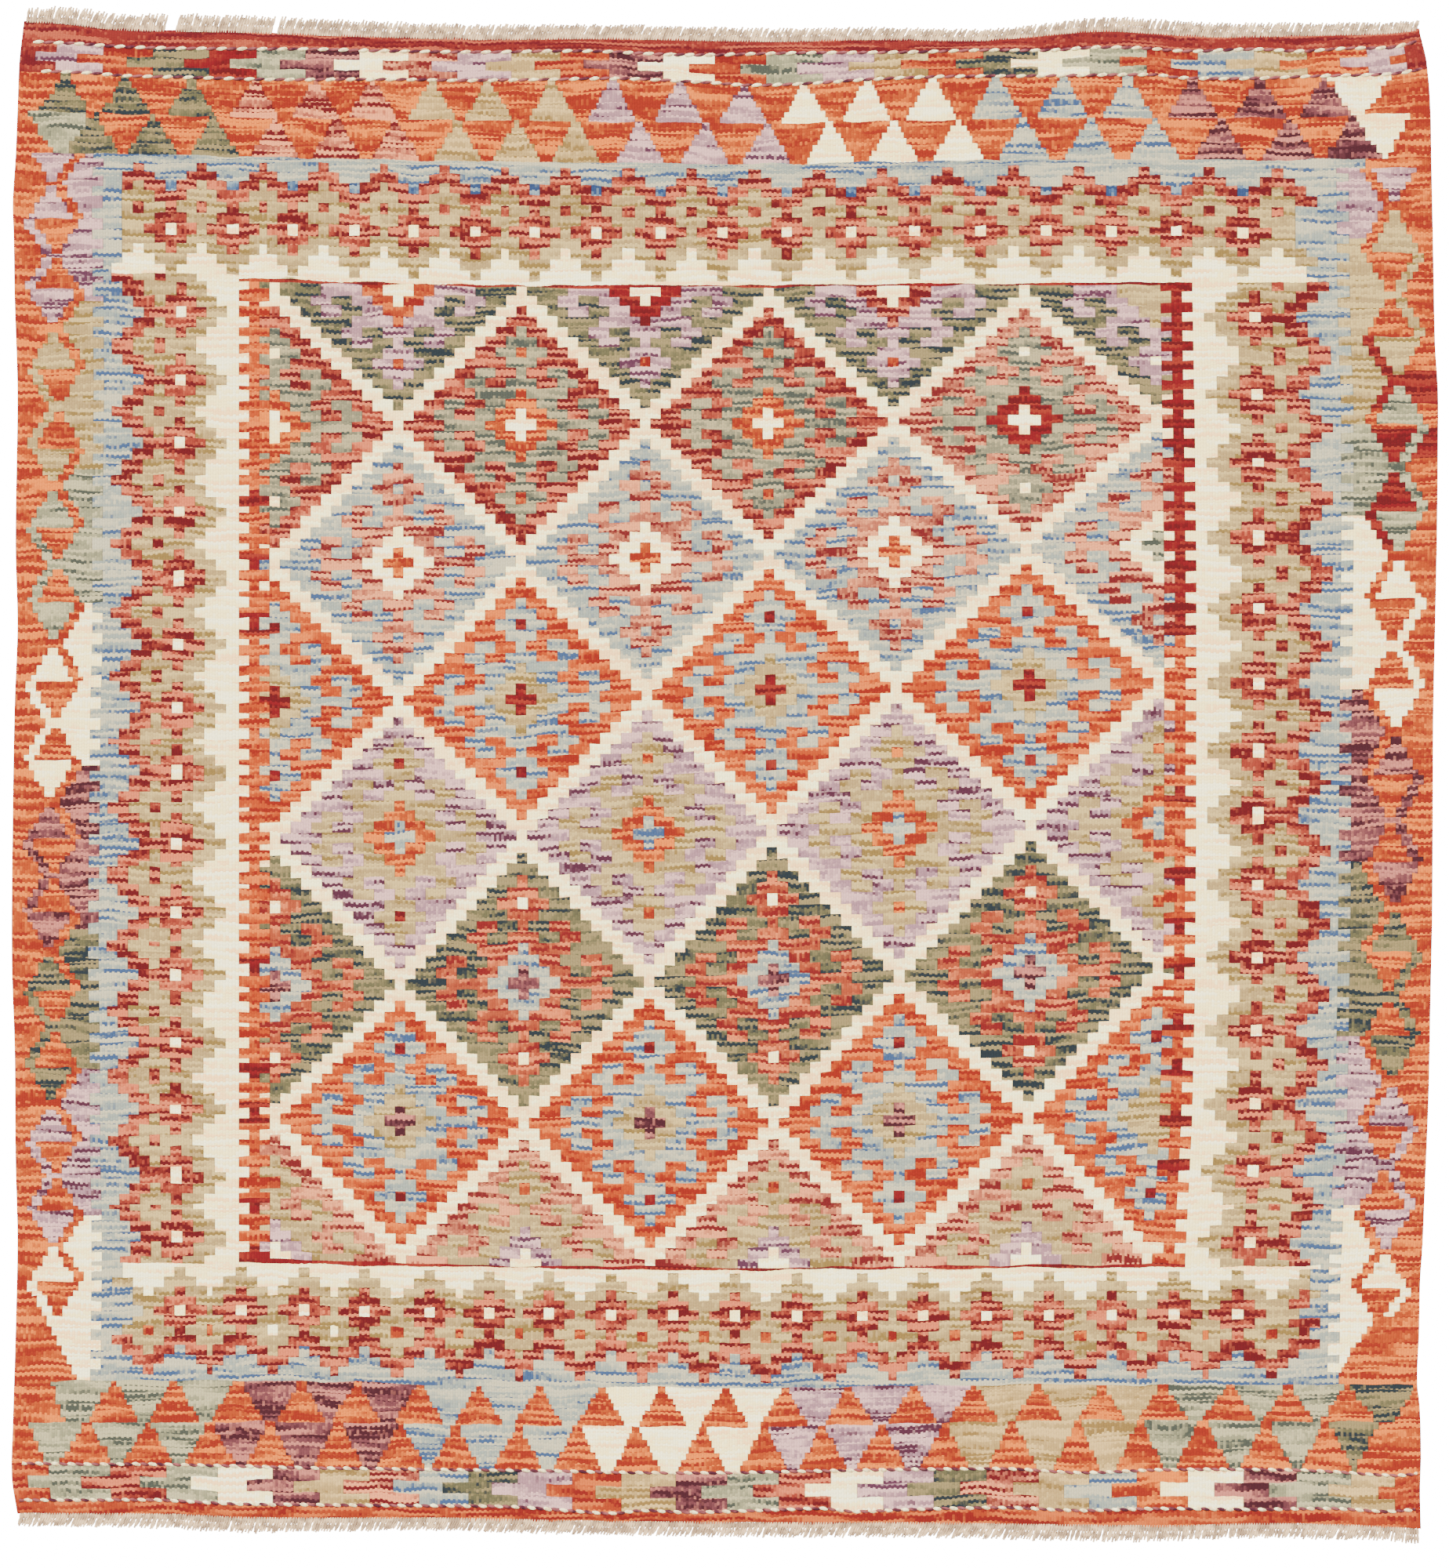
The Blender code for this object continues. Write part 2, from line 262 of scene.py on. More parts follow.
# Each wool's light, middle and dark shade as seen, the shares of it that are light and dark, and the warps
# that a streak of one shade crosses.
WOOLS = {
    "white": ((248, 239, 216), (245, 229, 203), (239, 222, 194), 0.30, 0.20, 50),
    "ivory": ((245, 236, 212), (242, 226, 200), (236, 219, 191), 0.30, 0.25, 50),
    "tan": ((216, 203, 168), (204, 187, 148), (184, 158, 100), 0.32, 0.16, 60),
    "beige": ((220, 205, 170), (208, 190, 148), (188, 160, 104), 0.30, 0.20, 60),
    "orange": ((234, 174, 106), (217, 108, 65), (198, 66, 50), 0.28, 0.34, 60),
    "vermilion": ((228, 156, 98), (212, 94, 62), (182, 50, 46), 0.24, 0.30, 50),
    "flame": ((232, 166, 104), (222, 110, 66), (196, 58, 46), 0.28, 0.28, 50),
    "deep red": ((200, 78, 64), (172, 36, 46), (136, 22, 36), 0.22, 0.32, 60),
    "end red": ((218, 130, 100), (180, 62, 58), (142, 32, 44), 0.16, 0.32, 110),
    "madder": ((228, 166, 130), (202, 90, 73), (138, 28, 38), 0.28, 0.36, 50),
    "rose": ((232, 190, 158), (212, 134, 110), (144, 32, 42), 0.30, 0.34, 60),
    "salmon": ((230, 190, 158), (213, 142, 114), (158, 46, 50), 0.36, 0.28, 60),
    "coral": ((230, 172, 128), (211, 112, 80), (172, 48, 50), 0.28, 0.30, 50),
    "pale blue": ((212, 208, 192), (190, 194, 186), (98, 126, 170), 0.36, 0.15, 80),
    "blue": ((184, 194, 196), (120, 150, 182), (76, 102, 152), 0.30, 0.35, 40),
    "lavender": ((222, 202, 198), (202, 172, 176), (128, 72, 98), 0.38, 0.08, 50),
    "plum streak": ((222, 202, 198), (200, 170, 176), (115, 55, 80), 0.38, 0.18, 50),
    "plum": ((218, 168, 154), (160, 92, 98), (96, 36, 50), 0.28, 0.34, 60),
    "sage": ((208, 203, 180), (186, 183, 156), (106, 112, 98), 0.38, 0.16, 60),
    "reed": ((204, 196, 170), (178, 173, 146), (106, 112, 100), 0.34, 0.22, 50),
    "moss": ((188, 174, 134), (142, 136, 100), (52, 66, 74), 0.36, 0.28, 60),
}

# The light that falls on the cloth, as a colour, and how much a white surface gives back of it.
LIGHT = (1.0, 0.92, 0.82)
LIGHT_LEVEL = 4.0
# How much bright tones are lifted, how fast that grows with a channel and with the whole, and how much
# colours are enriched.
BRIGHT_LIFT, BRIGHT_POWER, GREY_POWER, RICHNESS = 7.5, 2.5, 1.6, 1.15
GREY_SHARES = (0.2126, 0.7152, 0.0722)
DARKEST, PALEST = 0.001, 0.93


def greyness(channels):
    return sum(share * channel for share, channel in zip(GREY_SHARES, channels))


def dye(seen):
    """The base colour of a yarn that is seen as this one in the studio's light, from 0 to 255 a channel.

    The view flattens bright tones and pales rich ones, so bright ones are lifted and all are enriched.
    """
    channels = [c / 255 for c in seen]
    light = [c / 12.92 if c <= 0.04045 else ((c + 0.055) / 1.055) ** 2.4 for c in channels]
    lift = BRIGHT_LIFT * greyness(light) ** GREY_POWER
    lifted = [c * (1 + lift * c ** BRIGHT_POWER) for c in light]
    grey = greyness(lifted)
    rich = [grey + (c - grey) * RICHNESS for c in lifted]
    base = (min(max(c / LIGHT_LEVEL / tint, DARKEST), PALEST) for c, tint in zip(rich, LIGHT))
    return (*base, 1.0)


# ----------------------------------------------------------------------------------------------------
# The field's pattern. Latch-hooked diamonds of four wools with a small flower at their tips, in rows that
# interlock on an ivory ground. A cell is four warps wide and two lines high, and every diamond is alike.

# From the middle row to the tip, and in each row from the middle cell outwards: O outline, B body,
# T centre, D the dot in it, C the flower's heart.
DIAMOND = [
    "DDTTBBBBOOOO", "DTTBBOOBBOO", "TTBBOOBBOO", "TBBBBOOOO", "BBOOBBOO", "BOOBBOO", "BBOOOO", "CBBOO",
    "BBOO", "BOO", "OO", "O",
]
# From one diamond to the next in its row, and from one row to the next, in cells.
DIAMOND_STEP, DIAMOND_ROW = 24, 13
# A cell's size in warps and in lines.
CELL_WARPS, CELL_LINES = 4, 2

# Each row of diamonds, by its middle row of cells: outline, body, centre, dot and heart.
DIAMOND_WOOLS = {
    0: ("moss", "lavender", "vermilion", "white", "vermilion"),
    13: ("madder", "reed", "orange", "white", "vermilion"),
    26: ("pale blue", "salmon", "white", "orange", "pale blue"),
    39: ("flame", "pale blue", "tan", "deep red", "deep red"),
    52: ("plum streak", "tan", "orange", "pale blue", "orange"),
    65: ("moss", "coral", "pale blue", "plum", "white"),
    78: ("flame", "pale blue", "tan", "plum", "deep red"),
    91: ("salmon", "tan", "lavender", "white", "vermilion"),
}
# Diamonds where the weaver took another wool for one part: (column, row): {part: wool}.
CHANGED = {
    (0, 13): {"C": "white"},
    (36, 0): {"T": "deep red"},
    (60, 0): {"T": "madder"},
    (84, 0): {"T": "tan", "D": "tan", "C": "white"},
    (72, 13): {"O": "salmon", "T": "deep red", "C": "white"},
    (84, 26): {"D": "sage"},
    (12, 52): {"C": "deep red"},
    (84, 78): {"D": "tan"},
}


def field_wool(warp, line):
    """The wool of one place in the field."""
    column = int((warp - FIELD_LEFT) // CELL_WARPS)
    row = (line - FIELD) // CELL_LINES
    for number in (row // DIAMOND_ROW, row // DIAMOND_ROW + 1):
        centre_row = number * DIAMOND_ROW
        shift = 0 if number % 2 else DIAMOND_STEP // 2
        centre = round((column - shift) / DIAMOND_STEP) * DIAMOND_STEP + shift
        down, out = abs(row - centre_row), abs(column - centre)
        if down < len(DIAMOND) and out < len(DIAMOND[down]):
            part = DIAMOND[down][out]
            changed = CHANGED.get((centre, centre_row), {})
            return changed.get(part, DIAMOND_WOOLS[centre_row]["OBTDC".index(part)])
    return "ivory"


# ----------------------------------------------------------------------------------------------------
# The flower border and the combs. A reciprocal chain of flowers runs round the field on all four sides,
# and a toothed red comb divides it from the field at the left and the right.

# From the field outwards, and in each row from the flower's middle to half-way to the next one. A cell is
# four warps wide and two lines high.
FLOWER = [
    "wwww", "twww", "ttww", "dttw", "rrtt", "wrrt", "rrtt", "rttk", "rrtt", "Brrt", "bbrr", "bbbr",
]
FLOWER_WOOLS = {
    "w": "white", "t": "tan", "d": "madder", "r": "madder", "k": "madder", "B": "blue",
    "b": "pale blue",
}
FLOWER_HALF, HEART_ROW = 3, 5
SIDE_FLOWER_START = {-1: LEFT_COMB, 1: RIGHT_COMB_END}
# The heights of the flowers' middles at the sides, and their warps at the ends.
LEFT_FLOWERS = [494, 420, 351, 280, 210, 140, 71, 4, -69, -142, -212, -282, -352, -422, -489]
RIGHT_FLOWERS = [485, 405, 332, 253, 176, 100, 27, -41, -116, -191, -268, -345, -419, -492]
TOP_FLOWERS = [
    -26, -2, 21, 45, 68, 92, 115, 139, 164, 188, 213, 238, 262, 286, 310, 334, 358, 382,
]
BOTTOM_FLOWERS = [
    -21, 1, 25, 48, 73, 96, 119, 143, 167, 191, 215, 240, 263, 287, 311, 336, 360, 382,
]
# How many cells past its last flowers the border still goes on, by its cells out from the field.
TOP_REACH = {-1: "221111111110", 1: "323211113210"}
BOTTOM_REACH = {-1: "223110123210", 1: "433432434210"}
# The left border begins this many lines down, left of this warp, beside the last white of the top one.
SIDE_TOP, SIDE_TOP_END = 45, -8
# Between these warps the lowest flowers' outer cells are white.
WHITE_FLOWERS = (0, 45)
# The comb's teeth: pitch and height in lines, and the line of the field at which the first one starts.
COMB_TEETH = {-1: (3.55, 1.9, 0.8), 1: (4.06, 2.0, 3.0)}
# The heights at which the weaver took the deeper red for a bit of a comb, how far that goes either way, and
# the height above which all of the right comb is of it.
DEEP_PIECES = {
    -1: (295, 229, 162, -203, -311, -356, -456, -506),
    1: (-16, -103, -157, -207, -257, -307, -361, -415),
}
DEEP_REACH, DEEP_ABOVE = 9, 150


def flower_wool(out, off, changed):
    """The wool of a border cell, out cells from the field and off cells from the flower's middle."""
    if out >= len(FLOWER):
        return "pale blue"
    mark = FLOWER[out][min(off, FLOWER_HALF)]
    return changed.get(mark, FLOWER_WOOLS[mark])


def side_flower_wool(side, warp, height):
    """The wool of the left border, which is side -1, or of the right one."""
    start = SIDE_FLOWER_START[side]
    out = int((warp - start) * side // CELL_WARPS)
    centres = LEFT_FLOWERS if side < 0 else RIGHT_FLOWERS
    nearest = min(centres, key=lambda centre: abs(height - centre))
    cell = (centres[0] - centres[-1]) / (len(centres) - 1) / (2 * FLOWER_HALF)
    return flower_wool(out, round(abs(height - nearest) / cell), {"B": "pale blue"})


def end_flower_wool(centres, reach, warp, out, changed):
    """The wool of the top or bottom border. Past its last flowers it goes on as if there was one more."""
    off = int((min(abs(warp - centre) for centre in centres) + CELL_WARPS / 2) // CELL_WARPS)
    if off > FLOWER_HALF:
        side = -1 if warp < MIDDLE_WARP else 1
        if out >= len(FLOWER) or off - FLOWER_HALF > int(reach[side][out]):
            return "pale blue"
        if out == HEART_ROW:
            return "tan"
        off = abs(2 * FLOWER_HALF - off)
    return flower_wool(out, off, changed)


def comb_wool(side, column, line, height):
    """The comb's middle column is whole, and the ones beside it are teeth. None between the teeth."""
    pitch, tooth, first = COMB_TEETH[side]
    if column != 1 and (line + 0.5 - first) % pitch >= tooth:
        return None
    deep = any(abs(height - piece) < DEEP_REACH for piece in DEEP_PIECES[side])
    return "deep red" if deep or side > 0 and height > DEEP_ABOVE else "flame"


# ----------------------------------------------------------------------------------------------------
# The side zigzags. At both selvedges an orange zigzag with pale triangles in it stands on a ground whose
# wool changes every 160 mm, with the orange wool carried along the selvedge.

# The heights at which the zigzag comes back to the selvedge, and those at which the ground's wool changes.
LEFT_JOINTS = [627, 475, 307.5, 141, -27, -185, -346.5, -497.5]
RIGHT_JOINTS = [603, 418, 233.5, 46, -139, -324, -503.5]
LEFT_GROUNDS = [503, 327, 183, 13, -160, -310, -467]
RIGHT_GROUNDS = [570, 372, 278, 93, -91, -276, -455]
SIDE_WOOLS = ["lavender", "tan", "sage", "white", "plum", "moss", "plum streak", "white"]
ZIGZAG_MIDDLE = {-1: -68, 1: 433}
# Between joints past the last one, in millimetres.
LAST_PERIOD = 150
# In ninths of the way from a joint to half-way between joints: where the orange band begins and ends,
# and where the selvedge's wool begins, in pairs of warps towards the selvedge.
NINTHS, TOP_NINTHS = 9, 4
ZIGZAG = [
    (-1, -1, -1), (-2, 0, 2), (-3, -1, 3), (-4, -2, 4), (-5, -3, 5), (-4, 4, 6), (-3, 3, 5),
    (-2, 2, 4), (-1, 1, 3), (2, 2, 2),
]
# The heights between which the weaver took the deep red at the right, for the band and the selvedge.
DEEP_BAND = ((235, 370), (390, 465))
DEEP_SELVEDGE = ((340, 370), (392, 430))
# After its last triangle each side is ground, with an orange wedge that widens from the selvedge. Its
# edge: heights, then warps.
WEDGE = {-1: ((-636, -563), (-60, -74)), 1: ((-640, -593, -544), (417, 427, 439))}
# At the right, above this height, the zigzag fills the corner as far as this many pairs of warps.
CORNER_HEIGHT, CORNER_OUT = 645, -4


def zigzag_wool(side, warp, height):
    """The wool of the left zigzag, which is side -1, or of the right one."""
    joints = LEFT_JOINTS if side < 0 else RIGHT_JOINTS
    grounds = LEFT_GROUNDS if side < 0 else RIGHT_GROUNDS
    out = (warp - ZIGZAG_MIDDLE[side]) * side / 2
    above = sum(height < joint for joint in joints)
    period = joints[max(above - 1, 0)] - joints[min(max(above, 1), len(joints) - 1)] or LAST_PERIOD
    nearest = min(joints, key=lambda joint: abs(joint - height))
    ninth = round(2 * NINTHS * abs(height - nearest) / period)
    ninth = min(ninth, TOP_NINTHS if above == 0 else NINTHS)
    band, inner, selvedge = ZIGZAG[ninth]
    ground = SIDE_WOOLS[sum(height < change for change in grounds)]
    if above == len(joints) and ninth == NINTHS:
        return "orange" if (warp - np.interp(height, *WEDGE[side])) * side > 0 else ground
    if side > 0 and height > CORNER_HEIGHT:
        return "orange" if out > CORNER_OUT else "pale blue"
    if out < band:
        return ground
    if out < inner or out >= selvedge:
        spans = DEEP_BAND if out < inner else DEEP_SELVEDGE
        deep = side > 0 and any(low < height < high for low, high in spans)
        return "deep red" if deep else "orange"
    number = max(above - 1, 0) if side < 0 else above
    return SIDE_WOOLS[min(number, len(SIDE_WOOLS) - 1)]


# ----------------------------------------------------------------------------------------------------
# The ends. Two rows of stepped triangles, then a band of oblong blocks between two twined rows, then a
# few lines of red before the warps leave the cloth as a fringe.

# Half a triangle's width in warps, by line from its apex.
TRIANGLE_HALVES = (1.5, 2.5, 4, 5, 6.5, 8, 9)
# Three triangles side by side are of one wool. The apexes' warps follow, for the two rows of each end.
SAME_WOOL = 3
TOP_APEXES = [
    -66, -43, -18, 6, 30, 52, 75, 97, 122, 145, 171, 196, 220, 244, 268, 292, 316, 340, 364, 388, 411,
]
LOW_TOP_APEXES = [
    -55, -33, -9, 14, 38, 61, 85, 108, 131, 156, 181, 205, 230, 254, 278, 302, 326, 350, 374, 398, 421,
]
TOP_TRIANGLE_WOOLS = ["moss", "rose", "beige", "lavender", "white", "pale blue", "plum"]
END_APEXES = [
    -46, -23, 0, 24, 45, 69, 92, 115, 139, 163, 187, 210, 235, 259, 282, 307, 332, 356, 379, 400, 422,
]
LAST_APEXES = [
    -56, -33, -10, 12, 38, 62, 83, 107, 130, 153, 178, 202, 225, 247, 271, 297, 322, 347, 370, 392, 414,
]
END_GROUND_WOOLS = ["sage", "plum", "pale blue", "white", "plum streak", "beige", "sage", "moss"]
# Odd bits beside a row of triangles, by row: each side's warp at the row's top, and how far it moves with
# every line. A white wedge at the top right, a sage one at the top left, and all of the bottom's ground.
WHITE_WEDGE = [(413, 1.0, 435, -1.6), (422, 1.3, 440.6, -1.2)]
SAGE_WEDGE = (-80, 1.6, -58, 0)
END_GROUND = [(-69.5, 0.8, 447, -1.3), (-77, 0.8, 432, -1.3)]

# The warps between which the blocks lie. The middle line's begin further left.
BLOCKS_LEFT, MIDDLE_BLOCKS_LEFT = -70, -77
TOP_BLOCKS_RIGHT, END_BLOCKS_RIGHT = 441, 438
# Where each block of the outer lines ends. The middle line's blocks are half a block further left.
BLOCK_SHIFT = 10
TOP_BLOCK_ENDS = [
    -52, -33, -11, 7, 26, 47, 66, 85, 106, 125, 144, 165, 185, 205, 227, 247, 267, 287, 307, 326, 347, 366,
    386, 405, 427, 444,
]
END_BLOCK_ENDS = [
    -47, -26, -7, 13, 31, 50, 69, 88, 107, 128, 147, 168, 188, 208, 228, 248, 267, 287, 307, 327, 346, 365,
    384, 403, 424, 443,
]
TOP_BLOCK_WOOLS = [
    "lavender", "vermilion", "moss", "deep red", "sage", "plum", "white", "salmon", "lavender",
    "beige", "vermilion", "plum", "white", "vermilion", "sage", "lavender", "beige", "vermilion",
    "moss", "white", "sage", "vermilion", "pale blue", "beige", "orange", "lavender", "orange",
]
END_BLOCK_WOOLS = [
    "sage", "madder", "sage", "white", "plum", "beige", "rose", "pale blue", "moss", "lavender",
    "vermilion", "beige", "plum", "sage", "madder", "white", "lavender", "moss", "rose", "beige",
    "pale blue", "orange", "white", "plum", "sage", "beige", "vermilion",
]


def triangle_at(apexes, warp, down):
    """The number of the triangle that holds this place, or None."""
    for number, apex in enumerate(apexes):
        if abs(warp - apex) < TRIANGLE_HALVES[down]:
            return number
    return None


def is_inside(sides, warp, down):
    """True of a place between two sides, each of which moves with every line down."""
    left, left_step, right, right_step = sides
    return left + left_step * down < warp < right + right_step * down


def block_wool(wools, ends, warp, line):
    """The wool of a place in a band of blocks, of which line 1 is the middle one."""
    shift = BLOCK_SHIFT if line == 1 else 0
    return wools[sum(warp + shift > end for end in ends)]


def top_wool(warp, line):
    """The wool of the top end, down to its second row of triangles."""
    left = MIDDLE_BLOCKS_LEFT if line == BLOCKS + 1 else BLOCKS_LEFT
    if line < BLOCKS or line < TRIANGLES and not left < warp < TOP_BLOCKS_RIGHT:
        return "end red"
    if line < TRIANGLES:
        return block_wool(TOP_BLOCK_WOOLS, TOP_BLOCK_ENDS, warp, line - BLOCKS)
    low = line >= LOW_TRIANGLES
    down = line - (LOW_TRIANGLES if low else TRIANGLES)
    number = triangle_at(LOW_TOP_APEXES if low else TOP_APEXES, warp, down)
    if number is not None:
        return TOP_TRIANGLE_WOOLS[number // SAME_WOOL]
    if low and is_inside(SAGE_WEDGE, warp, down):
        return "sage"
    return "white" if is_inside(WHITE_WEDGE[low], warp, down) else "orange"


def bottom_wool(warp, line):
    """The wool of the bottom end, from its first row of triangles."""
    left = MIDDLE_BLOCKS_LEFT if line == END_BLOCKS + 1 else BLOCKS_LEFT
    if line >= END_BAND or line >= END_BLOCKS and not left < warp < END_BLOCKS_RIGHT:
        return "vermilion"
    if line >= END_BLOCKS:
        return block_wool(END_BLOCK_WOOLS, END_BLOCK_ENDS, warp, line - END_BLOCKS)
    last = line >= LAST_TRIANGLES
    down = line - (LAST_TRIANGLES if last else END_TRIANGLES)
    apexes = LAST_APEXES if last else END_APEXES
    if triangle_at(apexes, warp, down) is None and is_inside(END_GROUND[last], warp, down):
        return END_GROUND_WOOLS[sum(warp > apex for apex in apexes) // SAME_WOOL]
    return "orange"


def wool_at(warp, line, height):
    """The wool of the cloth at one place."""
    side = -1 if warp < MIDDLE_WARP else 1
    if line < PLAIN:
        return top_wool(warp, line)
    if line >= END_TRIANGLES:
        return bottom_wool(warp, line)
    is_inner = LEFT_BORDER <= warp <= RIGHT_BORDER_END
    is_zigzag = warp < LEFT_ZIGZAG_END or warp > RIGHT_ZIGZAG
    if is_zigzag or not is_inner and line // CELL_LINES % 2:
        return zigzag_wool(side, warp, height)
    if line < BORDER or not is_inner:
        return "pale blue"
    if warp < SIDE_TOP_END and SIDE_TOP <= line < LOW_BORDER:
        return side_flower_wool(side, warp, height)
    if line == RED_LINE and LEFT_COMB < warp < FIELD_LEFT:
        return "vermilion"
    if line < RED_LINE:
        out = (RED_LINE - 1 - line) // CELL_LINES
        return end_flower_wool(TOP_FLOWERS, TOP_REACH, warp, out, {})
    if line >= LOW_BORDER:
        outer = "white" if WHITE_FLOWERS[0] < warp < WHITE_FLOWERS[1] else "vermilion"
        changed = {"B": "pale blue", "k": outer}
        out = (line - LOW_BORDER) // CELL_LINES
        return end_flower_wool(BOTTOM_FLOWERS, BOTTOM_REACH, warp, out, changed)
    if warp < LEFT_COMB or warp > RIGHT_COMB_END:
        return side_flower_wool(side, warp, height)
    if line < FIELD or line >= FIELD_END:
        return "deep red"
    if warp < FIELD_LEFT or warp > FIELD_RIGHT:
        column = int((warp - (LEFT_COMB if side < 0 else FIELD_RIGHT)) // CELL_WARPS)
        wool = comb_wool(side, column, line - FIELD, height)
        if wool:
            return wool
        if column == (0 if side < 0 else 2):
            return "white"
    return field_wool(warp, line)


# ----------------------------------------------------------------------------------------------------
# The cloth, woven. A grid of crossings is coloured cell by cell from the pattern, then each crossing is
# moved to where it lies on the floor, and the sheet gets its thickness and its rounded edges.

# How far crossings stand off the face, and stray from their line, and how much lower the edges are.
UNEVENNESS, STRAY, EDGE_DROP = 0.2, 0.2, 0.9
# How far up or down each line wavers, how far along it goes before it does so again, and how much that
# changes from line to line.
WAVER, WAVER_LENGTH, WAVER_CHANGE = 2.2, 34, 0.8
# How much further along the noise that shades a skein each wool starts.
SKEIN_SHIFT = 211

weave = bmesh.new()
bmesh.ops.create_grid(weave, x_segments=COLUMNS, y_segments=LINES, size=0.5)
thread_map = weave.loops.layers.uv.new("threads")
light = weave.faces.layers.float_color.new("wool_light")
middle = weave.faces.layers.float_color.new("wool_middle")
dark = weave.faces.layers.float_color.new("wool_dark")
shares = weave.faces.layers.float_vector.new("wool_shares")
run = weave.faces.layers.float_vector.new("wool_run")


def threads(point):
    """The warp and the line of a point of the grid."""
    column = (point.x + 0.5) * COLUMNS
    index = min(int(column + 0.001), COLUMNS - 1)
    warp = TURNS[index] + (column - index) * (TURNS[index + 1] - TURNS[index])
    return warp, (0.5 - point.y) * LINES


def is_split(edge):
    """True of a level edge of a four-warp cell in the rows where wool can turn back on any warp."""
    (left, line), (right, other) = (threads(vert.co) for vert in edge.verts)
    is_level = round(line - other, 3) == 0
    line = round(line)
    in_rows = BLOCKS <= line <= RED_LINE or LOW_BORDER <= line <= END_BAND
    return is_level and in_rows and abs(right - left) > CELL_WARPS - 0.5


bmesh.ops.subdivide_edges(
    weave,
    edges=[edge for edge in weave.edges if is_split(edge)],
    cuts=CELL_WARPS - 1,
    use_grid_fill=True,
)

cells = []
for face in weave.faces:
    corners = [threads(vert.co)[0] for vert in face.verts]
    warp, line = threads(face.calc_center_bounds())
    cells.append((face, warp, int(line), min(corners), max(corners)))
_, heights = lay(np.array([cell[1] for cell in cells]), np.array([cell[2] + 0.5 for cell in cells]))

rows = {}
for (face, warp, line, start, end), height in zip(cells, heights):
    rows.setdefault(line, []).append((start, end, wool_at(warp, line, height), face))

skeins = list(WOOLS)
dyes = {name: [dye(shade) for shade in wool[:3]] for name, wool in WOOLS.items()}
for row in rows.values():
    row.sort(key=lambda cell: (cell[0], cell[1]))
    while row:
        wool = row[0][2]
        count = next((i for i, cell in enumerate(row) if cell[2] != wool), len(row))
        start, end = row[0][0], max(cell[1] for cell in row[:count])
        for cell in row[:count]:
            face = cell[3]
            face[light], face[middle], face[dark] = dyes[wool]
            face[shares] = WOOLS[wool][3:]
            face[run] = (start, end - start, skeins.index(wool) * SKEIN_SHIFT)
        del row[:count]

for face in weave.faces:
    face.smooth = True
    for loop in face.loops:
        warp, line = threads(loop.vert.co)
        loop[thread_map].uv = (warp, straight(WEFT_PLACES, line) / PASS_HEIGHT)

chance = random.Random(5)
crossings = list(weave.verts)
positions = [threads(vert.co) for vert in crossings]
places, heights = lay(*np.array(positions).T)
for vert, (warp, line), place, height in zip(crossings, positions, places, heights):
    height += WAVER * noise.noise((place / WAVER_LENGTH, line * WAVER_CHANGE, 0.0))
    height += chance.gauss(0, STRAY)
    lump = chance.uniform(-UNEVENNESS, UNEVENNESS) - (EDGE_DROP if vert.is_boundary else 0)
    vert.co = (place * MM, height * MM, CLOTH_THICKNESS + lump * MM)

rim = [edge for edge in weave.edges if edge.is_boundary]
for edge in rim:
    edge.smooth = False
for element in bmesh.ops.extrude_edge_only(weave, edges=rim)["geom"]:
    if isinstance(element, bmesh.types.BMVert):
        element.co.z = 0.0
hem = [edge for edge in weave.edges if edge.is_boundary]
for edge in hem:
    edge.smooth = False
bmesh.ops.contextual_create(weave, geom=hem)
bmesh.ops.recalc_face_normals(weave, faces=weave.faces)
mesh = bpy.data.meshes.new("cloth")
weave.to_mesh(mesh)
weave.free()
cloth = bpy.data.objects.new("cloth", mesh)
bpy.context.collection.objects.link(cloth)


class Value:
    """A number or a colour of a material's nodes, on which Python's operators add Math nodes."""

    def __init__(self, nodes, socket):
        self.nodes, self.socket = nodes, socket

    def math(self, operation, *others):
        values = dict(enumerate((self, *others)))
        return self.nodes.add("Math", {"operation": operation}, values)["Value"]

    def __add__(self, other):
        return self.math("ADD", other)

    def __sub__(self, other):
        return self.math("SUBTRACT", other)

    def __mul__(self, other):
        return self.math("MULTIPLY", other)

    def __truediv__(self, other):
        return self.math("DIVIDE", other)

    def __rsub__(self, other):
        return self.math("MULTIPLY", -1).math("ADD", other)

    __radd__, __rmul__ = __add__, __mul__


class Nodes:
    """The nodes of one material."""

    def __init__(self, name):
        self.material = bpy.data.materials.new(name)
        self.material.use_nodes = True
        self.tree = self.material.node_tree
        self.shader = self.tree.nodes["Principled BSDF"]

    def set(self, node, inputs):
        for name, value in inputs.items():
            if isinstance(value, Value):
                self.tree.links.new(value.socket, node.inputs[name])
            else:
                node.inputs[name].default_value = value

    def add(self, kind, settings, inputs):
        """Adds a node and returns its outputs by name."""
        node = self.tree.nodes.new("ShaderNode" + kind)
        for name, value in settings.items():
            setattr(node, name, value)
        self.set(node, inputs)
        return {output.name: Value(self, output) for output in node.outputs if output.enabled}

    def mix(self, share, first, second, blend="MIX"):
        """A colour between two others."""
        node = self.tree.nodes.new("ShaderNodeMix")
        node.data_type, node.blend_type = "RGBA", blend
        self.set(node, {0: share, 6: first, 7: second})
        return Value(self, node.outputs[2])

    def noise(self, place, scale, detail, dimensions="3D"):
        inputs = {"W" if dimensions == "1D" else "Vector": place, "Scale": scale, "Detail": detail}
        return self.add("TexNoise", {"noise_dimensions": dimensions}, inputs)["Fac"]


def step(value, start, end):
    """From 0 where a value is at its start to 1 at its end, smoothly."""
    return value.nodes.add(
        "MapRange",
        {"interpolation_type": "SMOOTHSTEP"},
        {"Value": value, "From Min": start, "From Max": end},
    )["Result"]


